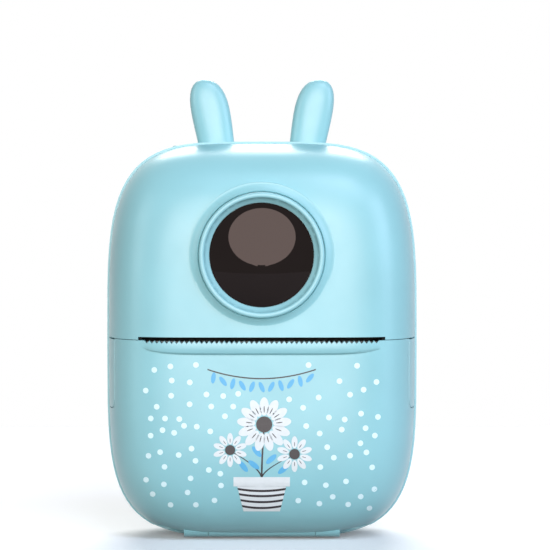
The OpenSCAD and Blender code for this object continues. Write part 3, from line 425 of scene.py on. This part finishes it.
def pad_printed_ink(name, colour, roughness=0.4):
    """Ink, pad printed: flat and even, slightly varied in thickness."""

    def pattern(tree, place):
        return {
            "Base Color": mottle(tree, place, shade(colour, 0.96), shade(colour, 1.0), 1.2),
            "Roughness": varied(tree, place, roughness - 0.04, roughness + 0.04, 0.8),
            "Normal": grain(tree, place, 0.4, 0.005),
        }

    return finish(name, {"IOR": 1.5}, pattern)


# ------------------------------------------------------------------------------------ modelling help


def select_only(*objects):
    """Selects these objects alone, the first one active, in object mode."""
    if bpy.context.mode != "OBJECT":
        bpy.ops.object.mode_set(mode="OBJECT")
    bpy.ops.object.select_all(action="DESELECT")
    for chosen in objects:
        chosen.select_set(True)
    bpy.context.view_layer.objects.active = objects[0]


def settle(piece):
    """Puts a piece's place, turn and scale in its mesh, so that its object sits at the origin."""
    select_only(piece)
    bpy.ops.object.transform_apply(location=True, rotation=True, scale=True)


def join(name, parts):
    """Joins parts into one piece that sits at the origin."""
    select_only(*parts)
    bpy.ops.object.join()
    piece = bpy.context.active_object
    piece.name = piece.data.name = name
    settle(piece)
    return piece


def paint(piece, material):
    """Gives the whole piece one material."""
    piece.data.materials.clear()
    piece.data.materials.append(material)


def skin(node, name, material, angle=30):
    """A smooth-shaded copy of a CAD node's mesh, which stands for that node."""
    source = frame["nodes"][node]
    piece = bpy.data.objects.new(name, source.data.copy())
    piece.data.name = name
    bpy.context.scene.collection.objects.link(piece)
    select_only(piece)
    bpy.ops.mesh.customdata_custom_splitnormals_clear()
    bpy.ops.object.mode_set(mode="EDIT")
    bpy.ops.mesh.select_all(action="SELECT")
    bpy.ops.mesh.remove_doubles(threshold=0.002 * MM)
    bpy.ops.object.mode_set(mode="OBJECT")
    bpy.ops.object.shade_smooth_by_angle(angle=math.radians(angle))
    paint(piece, material)
    bodies = frame["record"]["behaviour"]["bodies"]
    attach(piece, next(body for body, nodes in bodies.items() if node in nodes))
    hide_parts(node)
    return piece


def case_normal(point, case):
    """How far a point in mm is from one half of the casing, and the casing's outward normal there."""
    height = case["up"] if point.z > CASE_MIDDLE_Z else case["down"]
    across, tall = point.x / case["half_width"], (point.z - CASE_MIDDLE_Z) / height
    power, fullness, depth = CASE_CORNER_POWER, case["fullness"], case["depth"]
    radius = max((abs(across) ** power + abs(tall) ** power) ** (1 / power), 1e-6)
    left = max(1 - radius**fullness, 1e-5)
    swell = 1 / case["round"]
    slope = -depth * swell * left ** (swell - 1) * fullness * radius ** (fullness - 1)
    spread = radius ** (1 - power)
    along_x = spread * abs(across) ** (power - 1) * math.copysign(1, across) / case["half_width"]
    along_z = spread * abs(tall) ** (power - 1) * math.copysign(1, tall) / height
    normal = Vector((-slope * along_x, 1, -slope * along_z)) * math.copysign(1, depth)
    off = point.y - CASE_PART_Y - depth * left**swell
    return abs(off) / normal.length, normal.normalized()


def true_case_normals(piece, case):
    """Shades the casing's outer skin by the exact curve it was cut from, so that facets don't show."""
    mesh = piece.data
    normals = [Vector(corner.vector) for corner in mesh.corner_normals]
    known = [case_normal(v.co / MM, case) for v in mesh.vertices]
    for face in mesh.polygons:
        for loop in face.loop_indices:
            off, normal = known[mesh.loops[loop].vertex_index]
            if off < CASE_REACH_MM and face.normal.dot(normal) > CASE_LEAN_COSINE:
                normals[loop] = normal
    mesh.normals_split_custom_set(normals)


# ------------------------------------------------------------------------------------ moulded casing


class CAMERA_OT_casing(Operator):
    """Dresses the moulded shells, ears, door, covers and side buttons in smooth satin plastic"""

    bl_idname = "camera_finish.casing"
    bl_label = "Moulded casing"

    def execute(self, context):
        colour = list(context.scene.camera_finishes.casing)
        abs_satin = moulded_abs("satin moulded ABS", colour, 0.34, 0.2)
        for node, name, case in (
            ("front_shell", "front_casing", FRONT_CASE),
            ("rear_shell", "rear_casing", REAR_CASE),
            ("paper_door", "door_casing", FRONT_CASE),
            ("release_left", "left_release_cap", FRONT_CASE),
            ("release_right", "right_release_cap", FRONT_CASE),
        ):
            true_case_normals(skin(node, name, abs_satin), case)
        skin("port_cover", "port_flap", abs_satin)
        skin("ear_left", "left_ear", abs_satin, 60)
        skin("ear_right", "right_ear", abs_satin, 60)
        skin("lens_ring", "lens_bezel", abs_satin, 40)
        skin("shutter_button", "shutter_cap", abs_satin)
        skin("lens_window", "lens_glass", polished_acrylic(), 20)
        return {"FINISHED"}


class CAMERA_OT_works(Operator):
    """Gives the screen and the printing works behind the door their finishes"""

    bl_idname = "camera_finish.works"
    bl_label = "Lens, screen and works"

    def execute(self, context):
        finishes = {
            "black_acrylic": polished_acrylic(),
            "lcd_glass": screen_glass(),
            "black_plastic": moulded_abs("fine-textured black ABS", linear("232426"), 0.5),
            "grey_plastic": moulded_abs("fine-textured grey ABS", linear("7C8083"), 0.5),
            "circuit_board": solder_mask(),
            "steel": ground_steel(),
            "battery_foil": foil_pouch(),
            "head_ceramic": glazed_alumina(),
            "brass": turned_brass(),
            "platen_rubber": ground_rubber(),
            "white_plastic": moulded_acetal("moulded acetal, white", linear("E9EAE6")),
            "thermal_paper": wound_paper(),
        }
        for shown in frame["nodes"].values():
            for slot in shown.material_slots:
                if slot.material and slot.material.name in finishes:
                    slot.material = finishes[slot.material.name]
        return {"FINISHED"}


# ------------------------------------------------------------------------------------------ print


# Prints are drawn flat, this far before the door, and then laid on it.
INK_START_Y = -0.04
BAND_ROWS = 12


def ink_disc(centre_mm, size_mm, turn=0.0, sides=24):
    """A flat oval of ink that faces forwards; turn is in degrees, seen from the front."""
    bpy.ops.mesh.primitive_circle_add(vertices=sides, radius=0.5 * MM, fill_type="TRIFAN")
    disc = bpy.context.active_object
    disc.scale = (size_mm[0], size_mm[1], 1)
    disc.rotation_euler = (math.pi / 2, math.radians(turn), 0)
    disc.location = (centre_mm[0] * MM, INK_START_Y, centre_mm[1] * MM)
    return disc


def ink_band(low_mm, high_mm, wide_low_mm, wide_high_mm, cuts=11, sag_mm=0.0):
    """A flat band of ink between two heights, with its own width at each, bowed down by sag_mm."""
    bpy.ops.mesh.primitive_grid_add(x_subdivisions=cuts, y_subdivisions=BAND_ROWS, size=2 * MM)
    band = bpy.context.active_object
    for corner in band.data.vertices:
        across, up = corner.co.x / MM, (corner.co.y / MM + 1) / 2
        half = (wide_low_mm * (1 - up) + wide_high_mm * up) / 2
        height = low_mm * (1 - up) + high_mm * up - sag_mm * (1 - across**2)
        corner.co = (across * half * MM, height * MM, 0)
    band.rotation_euler = (math.pi / 2, 0, 0)
    band.location.y = INK_START_Y
    return band


def ink_line(points_mm, width_mm):
    """A thin line of ink through points, drawn by extruding a short edge from one to the next."""
    bpy.ops.mesh.primitive_plane_add(size=width_mm * MM)
    line = bpy.context.active_object
    bpy.ops.object.mode_set(mode="EDIT")
    bpy.ops.mesh.select_all(action="DESELECT")
    bpy.ops.object.mode_set(mode="OBJECT")
    for corner in line.data.vertices:
        corner.co.y = 0 if corner.co.y < 0 else width_mm * MM * 0.5
        corner.select = corner.co.y > 0
    bpy.ops.object.mode_set(mode="EDIT")
    bpy.ops.mesh.select_mode(type="VERT")
    for start, end in zip(points_mm, points_mm[1:]):
        step = ((end[0] - start[0]) * MM, (end[1] - start[1]) * MM, 0)
        bpy.ops.mesh.extrude_region_move(TRANSFORM_OT_translate={"value": step})
    bpy.ops.object.mode_set(mode="OBJECT")
    line.location = (points_mm[0][0] * MM, INK_START_Y, points_mm[0][1] * MM)
    line.rotation_euler = (math.pi / 2, 0, 0)
    return line


def lay_on_door(piece, lift, material):
    """Lays a flat print on the door by projecting it straight back, so that it moves with the door."""
    door = bpy.data.objects["door_casing"]
    settle(piece)
    wrap = piece.modifiers.new("lay", "SHRINKWRAP")
    wrap.target, wrap.wrap_method, wrap.offset = door, "PROJECT", lift
    wrap.use_project_y = True
    wrap.use_negative_direction = False
    wrap.use_positive_direction = True
    wrap.cull_face = "OFF"
    bpy.ops.object.modifier_apply(modifier=wrap.name)
    bpy.ops.object.shade_smooth()
    paint(piece, material)
    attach(piece, "paper_door")


# Each bloom's place, width and number of petals; each leaf's place and turn.
BLOOMS = [(0.6, 29.2, 13.0, 13), (-7.6, 23.0, 8.2, 10), (7.9, 22.0, 8.6, 10)]
LEAVES = [(-1.9, 19.4, -52), (2.3, 20.8, 48), (-4.4, 19.0, -38), (5.2, 18.3, 50), (-1.2, 22.6, -40)]
STEM_STEPS = 18
STEM_CURVE = 1.6
# Parts of a bloom, as shares of its width.
HEART_WIDTH = 0.3
PETAL_REACH = 0.335
PETAL_SIZE = (0.17, 0.34)
STROKE_REACH = 0.28
STROKE_SIZE = (0.018, 0.13)
# The pot narrows towards its foot, and its dark bands narrow with it.
POT_TOP = 16.4
POT_FOOT = 7.8
POT_RIM_WIDTH = 13.6
POT_WIDTHS = (8.8, 11.8)
POT_TAPER = 0.49
POT_BANDS = (8.9, 10.4, 11.9, 13.2)
POT_BAND_HEIGHT = 0.55
# The garland hangs in a parabola, with leaves that point by turns to each side.
GARLAND_HALF = 13
GARLAND_LOW = 40.1
GARLAND_SAG = 2.2
GARLAND_LEAVES = 11
GARLAND_LEAF_SPAN = 11.6
GARLAND_LEAF_LOW = 38.2


class CAMERA_OT_flowers(Operator):
    """Prints a pot of daisies and a leaf garland on the paper door"""

    bl_idname = "camera_finish.flowers"
    bl_label = "Flower print"

    def execute(self, context):
        finishes, lift = context.scene.camera_finishes, context.scene.camera_print.ink_lift
        light = pad_printed_ink("pad-printed white ink", list(finishes.ink_light))
        dark = pad_printed_ink("pad-printed dark ink", list(finishes.ink_dark))
        blue = pad_printed_ink("pad-printed blue ink", list(finishes.ink_blue))
        stems, petals, hearts, strokes, leaves = [], [], [], [], []
        for x, z, wide, count in BLOOMS:
            steps = [i / STEM_STEPS for i in range(STEM_STEPS + 1)]
            bend = [(x * t**STEM_CURVE, POT_TOP - 0.4 + (z - POT_TOP) * t) for t in steps]
            stems.append(ink_line(bend, 0.42))
            hearts.append(ink_disc((x, z), (wide * HEART_WIDTH,) * 2))
            for i in range(count):
                turn = 2 * math.pi * i / count
                for shapes, reach, size, sides in (
                    (petals, PETAL_REACH, PETAL_SIZE, 24),
                    (strokes, STROKE_REACH, STROKE_SIZE, 10),
                ):
                    place = (x + wide * reach * math.sin(turn), z + wide * reach * math.cos(turn))
                    oval = (wide * size[0], wide * size[1])
                    shapes.append(ink_disc(place, oval, math.degrees(turn), sides))
        for x, z, turn in LEAVES:
            leaves.append(ink_disc((x, z), (1.3, 3.2), turn))
        for i in range(GARLAND_LEAVES):
            across = 2 * i / (GARLAND_LEAVES - 1) - 1
            place = (across * GARLAND_LEAF_SPAN, GARLAND_LEAF_LOW + GARLAND_SAG * across**2)
            leaves.append(ink_disc(place, (1.1, 2.7), (-1) ** i * 24 + across * 16))
        pot = [
            ink_band(POT_FOOT, POT_TOP - 2.2, *POT_WIDTHS),
            ink_band(POT_TOP - 2.3, POT_TOP, POT_RIM_WIDTH, POT_RIM_WIDTH),
        ]
        bands = []
        for low in POT_BANDS:
            width = POT_WIDTHS[0] + (low - POT_FOOT) * POT_TAPER
            top_width = width + POT_BAND_HEIGHT * POT_TAPER
            bands.append(ink_band(low, low + POT_BAND_HEIGHT, width, top_width, 11, 0.5))
        garland = ink_band(0, 0.3, 2 * GARLAND_HALF, 2 * GARLAND_HALF, 21)
        for corner in garland.data.vertices:
            corner.co.y += (GARLAND_LOW + GARLAND_SAG * (corner.co.x / MM / GARLAND_HALF) ** 2) * MM
        lay_on_door(join("flower_stems", stems), lift, dark)
        lay_on_door(join("flower_leaves", leaves), lift * 1.3, blue)
        lay_on_door(join("flower_petals", petals + pot), lift * 1.7, light)
        lay_on_door(join("flower_marks", hearts + strokes + bands + [garland]), lift * 2.4, dark)
        return {"FINISHED"}


# Where dots may fall, in mm, and how many places are tried for each, the loneliest being kept.
DOTS_ACROSS = (-28, 28)
DOTS_UP = (8, 43.6)
DOT_TRIES = 14


def free_of_flowers(x, z):
    """Whether a dot at this place in mm keeps clear of the flower print."""
    if any(math.hypot(x - bx, z - bz) < wide / 2 + 1.6 for bx, bz, wide, _ in BLOOMS):
        return False
    if abs(x) < 8.8 and z < POT_TOP + 3.5:
        return False
    if abs(x) < 3.6 and z < 30:
        return False
    return not (abs(x) < 14.5 and 36.6 < z < 43.5)


class CAMERA_OT_dots(Operator):
    """Scatters small round dots of thin white ink over the paper door"""

    bl_idname = "camera_finish.dots"
    bl_label = "Dot print"

    def execute(self, context):
        settings = context.scene.camera_print
        ink = pad_printed_ink("pad-printed thin white ink", list(context.scene.camera_finishes.ink_dots))
        chance = random.Random(settings.dot_seed)
        places = []
        while len(places) < settings.dot_count:
            tries = [(chance.uniform(*DOTS_ACROSS), chance.uniform(*DOTS_UP)) for _ in range(DOT_TRIES)]
            tries = [t for t in tries if free_of_flowers(*t)] or [None]
            if tries[0] is None:
                continue
            places.append(max(tries, key=lambda t: min((math.dist(t, p) for p in places), default=99)))
        bpy.ops.object.select_all(action="DESELECT")
        first = ink_disc(places[0], (settings.dot_diameter / MM,) * 2, 0, 20)
        dots = [first]
        for x, z in places[1:]:
            copy = first.copy()
            copy.data = first.data.copy()
            copy.location = (x * MM, first.location.y, z * MM)
            context.scene.collection.objects.link(copy)
            dots.append(copy)
        lay_on_door(join("dot_print", dots), settings.ink_lift, ink)
        return {"FINISHED"}


# ------------------------------------------------------------------------------------------- keys


class CAMERA_OT_keys(Operator):
    """Dresses the round keys and the four-way pad on the back, and prints their marks"""

    bl_idname = "camera_finish.keys"
    bl_label = "Keys"

    def execute(self, context):
        gloss = moulded_abs("half-gloss moulded ABS", list(context.scene.camera_finishes.keys), 0.26)
        mark = pad_printed_ink("pad-printed grey ink", linear("5A666B"))
        for node in [n for n in frame["nodes"] if n.startswith("key_") and n != "key_switches"]:
            skin(node, node + "_cap", gloss)
            self.print_mark(node, mark)
        return {"FINISHED"}

    def print_mark(self, node, ink):
        """Prints a plain mark on one key's face: arrows, bars, a ring and the like."""
        low, high = (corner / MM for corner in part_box(node))
        x, z, face = (low.x + high.x) / 2, (low.z + high.z) / 2, high.y + 0.02
        shapes = {
            "key_up": [(3, (x, high.z - 1.9), 1.9, 0)],
            "key_down": [(3, (x, low.z + 1.9), 1.9, 180)],
            "key_left": [(3, (low.x + 1.9, z), 1.9, -90)],
            "key_right": [(3, (high.x - 1.9, z), 1.9, 90)],
            "key_play": [(3, (x, z), 3.0, 90)],
            "key_ok": [(32, (x, z), 2.6, 0)],
            "key_power": [(32, (x, z), 3.0, 0)],
            "key_menu": [],
            "key_print": [],
        }
        parts = []
        for sides, (px, pz), wide, turn in shapes[node]:
            bpy.ops.object.select_all(action="DESELECT")
            bpy.ops.mesh.primitive_circle_add(vertices=sides, radius=wide / 2 * MM, fill_type="NGON")
            shape = bpy.context.active_object
            if sides > 3:
                bpy.ops.object.mode_set(mode="EDIT")
                bpy.ops.mesh.select_all(action="SELECT")
                bpy.ops.mesh.inset(thickness=0.42 * MM, depth=0)
                bpy.ops.mesh.delete(type="FACE")
                bpy.ops.object.mode_set(mode="OBJECT")
            shape.rotation_euler = (math.pi / 2, math.radians(turn), 0)
            shape.location = (px * MM, face * MM, pz * MM)
            parts.append(shape)
        bars = {
            "key_menu": [(0, -1.0, 3.0, 0.45), (0, 0, 3.0, 0.45), (0, 1.0, 3.0, 0.45)],
            "key_print": [(0, -0.35, 3.0, 1.1), (0, 0.95, 1.8, 0.9), (0, -1.4, 1.8, 0.5)],
            "key_power": [(0, 1.1, 0.45, 1.5)],
        }
        for dx, dz, wide, tall in bars.get(node, []):
            bpy.ops.object.select_all(action="DESELECT")
            bpy.ops.mesh.primitive_plane_add(size=MM)
            bar = bpy.context.active_object
            bar.scale = (wide, tall, 1)
            bar.rotation_euler = (math.pi / 2, 0, 0)
            bar.location = ((x + dx) * MM, face * MM, (z + dz) * MM)
            parts.append(bar)
        piece = join(node + "_mark", parts)
        bpy.ops.object.mode_set(mode="EDIT")
        bpy.ops.mesh.select_all(action="SELECT")
        bpy.ops.mesh.flip_normals()
        bpy.ops.object.mode_set(mode="OBJECT")
        paint(piece, ink)
        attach(piece, node)


# ------------------------------------------------------------------------------------------- stage


LAMP_AIM = Vector((0, 0, 0.07))
CAMERA_AIM = Vector((0.0032, -0.010, 0.0647))
OVERHEAD_SPREAD = math.radians(40)
OVERHEAD_LEAN = math.radians(45)
FLOOR_MIDDLE_Y = -0.02
FLOOR_DEPTH = 0.56


class CAMERA_OT_stage(Operator):
    """Sets the pale floor, the soft lamps, the white surroundings and the camera"""

    bl_idname = "camera_finish.stage"
    bl_label = "Studio"

    def execute(self, context):
        studio = context.scene.camera_studio
        self.floor()
        self.surroundings(studio.room)
        for name, place, size, watts, colour, shape in (
            ("front", (0, -1.5, 0.28), (1.06, 0.90), studio.front_lamp, "FFFDFA", "ELLIPSE"),
            ("high", (0.4, -1.0, 1.13), (0.7, 0.7), studio.high_lamp, "DCE8FF", "RECTANGLE"),
            ("right", (1.2, -0.8, 0.5), (0.7, 1.0), studio.right_lamp, "D0E2FF", "RECTANGLE"),
            ("left", (-1.2, -0.8, 0.4), (0.6, 0.9), studio.left_lamp, "F2FAFF", "RECTANGLE"),
        ):
            self.softbox(name + " softbox", place, size, watts, colour, shape)
        self.overhead(studio.overhead)
        self.camera(studio)
        context.scene.view_settings.view_transform = "Standard"
        return {"FINISHED"}

    def seen_directly(self, tree):
        """One for rays from the camera, off gloss or through glass; nought for those that light."""
        path = add_node(tree, "ShaderNodeLightPath")
        gloss = add_node(
            tree, "ShaderNodeMath", {"operation": "MAXIMUM"},
            {0: path.outputs["Is Glossy Ray"], 1: path.outputs["Is Transmission Ray"]},
        )
        seen = add_node(
            tree, "ShaderNodeMath", {"operation": "MAXIMUM"},
            {0: path.outputs["Is Camera Ray"], 1: gloss.outputs["Value"]},
        )
        return seen.outputs["Value"]

    def floor(self):
        """A plain floor that looks white to the camera and keeps the object's soft shadow.

        Its front edge is 0.3 m from the origin, so that it doesn't cut the front softbox's reflection.
        """
        bpy.ops.object.select_all(action="DESELECT")
        bpy.ops.mesh.primitive_plane_add(size=1, location=(0, FLOOR_MIDDLE_Y, 0))
        floor = bpy.context.active_object
        floor.name = "studio_floor"
        floor.scale.y = FLOOR_DEPTH
        settle(floor)
        material = bpy.data.materials.new("matt white floor")
        material.use_nodes = True
        tree = material.node_tree
        tree.nodes.clear()
        lighting = add_node(tree, "ShaderNodeBsdfDiffuse", {"Color": linear("808080")})
        seen = add_node(tree, "ShaderNodeBsdfDiffuse", {"Color": linear("F6F6F6")})
        glow = add_node(tree, "ShaderNodeEmission", {"Color": linear("FFFFFF"), "Strength": 0.12})
        lifted = add_node(
            tree, "ShaderNodeAddShader", None, {0: seen.outputs["BSDF"], 1: glow.outputs["Emission"]}
        )
        mix = add_node(
            tree, "ShaderNodeMixShader", None,
            {0: self.seen_directly(tree), 1: lighting.outputs["BSDF"], 2: lifted.outputs["Shader"]},
        )
        add_node(tree, "ShaderNodeOutputMaterial", None, {"Surface": mix.outputs["Shader"]})
        paint(floor, material)

    def surroundings(self, strength):
        """Plain room light, and white where it is seen directly, in gloss or through glass."""
        world = bpy.data.worlds.new("studio room")
        bpy.context.scene.world = world
        world.use_nodes = True
        tree = world.node_tree
        tree.nodes.clear()
        room = add_node(tree, "ShaderNodeBackground", {"Color": linear("F4F8FF"), "Strength": strength})
        white = add_node(tree, "ShaderNodeBackground", {"Color": linear("FFFFFF"), "Strength": 1.0})
        mix = add_node(
            tree, "ShaderNodeMixShader", None,
            {0: self.seen_directly(tree), 1: room.outputs["Background"], 2: white.outputs["Background"]},
        )
        add_node(tree, "ShaderNodeOutputWorld", None, {"Surface": mix.outputs["Shader"]})

    def softbox(self, name, place, size, watts, colour, shape):
        """One soft lamp that faces the object and isn't seen by the camera."""
        lamp = bpy.data.lights.new(name, "AREA")
        lamp.shape, lamp.size, lamp.size_y = shape, size[0], size[1]
        lamp.energy, lamp.color = watts, linear(colour)[:3]
        box = bpy.data.objects.new(name, lamp)
        box.location = place
        box.rotation_euler = (Vector(place) - LAMP_AIM).to_track_quat("Z", "Y").to_euler()
        box.visible_camera = False
        bpy.context.scene.collection.objects.link(box)

    def overhead(self, strength):
        """A wide, even light from above and behind, which gives the floor its soft shadow."""
        lamp = bpy.data.lights.new("overhead light", "SUN")
        lamp.energy, lamp.angle = strength, OVERHEAD_SPREAD
        sky = bpy.data.objects.new("overhead light", lamp)
        sky.rotation_euler.x = -OVERHEAD_LEAN
        bpy.context.scene.collection.objects.link(sky)

    def camera(self, studio):
        """A long lens before the object, a little above its middle."""
        lens = bpy.data.cameras.new("studio camera")
        lens.lens = studio.focal_length
        seat = bpy.data.objects.new("studio camera", lens)
        away = studio.view_width * studio.focal_length / lens.sensor_width
        tilt = studio.view_height
        seat.location = CAMERA_AIM + away * Vector((0, -math.cos(tilt), math.sin(tilt)))
        seat.rotation_euler = (math.pi / 2 - tilt, 0, 0)
        bpy.context.scene.collection.objects.link(seat)
        bpy.context.scene.camera = seat


# ------------------------------------------------------------------------------------------- panel


class CAMERA_PT_finish(Panel):
    """Lists the steps that finish the camera"""

    bl_label = "Instant camera"
    bl_space_type = "VIEW_3D"
    bl_region_type = "UI"
    bl_category = "Camera"

    def draw(self, context):
        for step in STEPS:
            self.layout.operator(step.bl_idname)
        scene = context.scene
        for group in (scene.camera_finishes, scene.camera_print, scene.camera_studio):
            box = self.layout.box()
            for setting in group.__annotations__:
                box.prop(group, setting)


STEPS = (
    CAMERA_OT_casing, CAMERA_OT_works, CAMERA_OT_keys,
    CAMERA_OT_flowers, CAMERA_OT_dots, CAMERA_OT_stage,
)
CLASSES = (CameraFinishes, CameraPrint, CameraStudio, *STEPS, CAMERA_PT_finish)


def register():
    for cls in CLASSES:
        bpy.utils.register_class(cls)
    bpy.types.Scene.camera_finishes = PointerProperty(type=CameraFinishes)
    bpy.types.Scene.camera_print = PointerProperty(type=CameraPrint)
    bpy.types.Scene.camera_studio = PointerProperty(type=CameraStudio)


def unregister():
    del bpy.types.Scene.camera_finishes, bpy.types.Scene.camera_print, bpy.types.Scene.camera_studio
    for cls in reversed(CLASSES):
        bpy.utils.unregister_class(cls)


def main():
    """Builds every piece in order."""
    register()
    bpy.ops.camera_finish.casing()
    bpy.ops.camera_finish.works()
    bpy.ops.camera_finish.keys()
    bpy.ops.camera_finish.flowers()
    bpy.ops.camera_finish.dots()
    bpy.ops.camera_finish.stage()


if __name__ == "__main__":
    main()
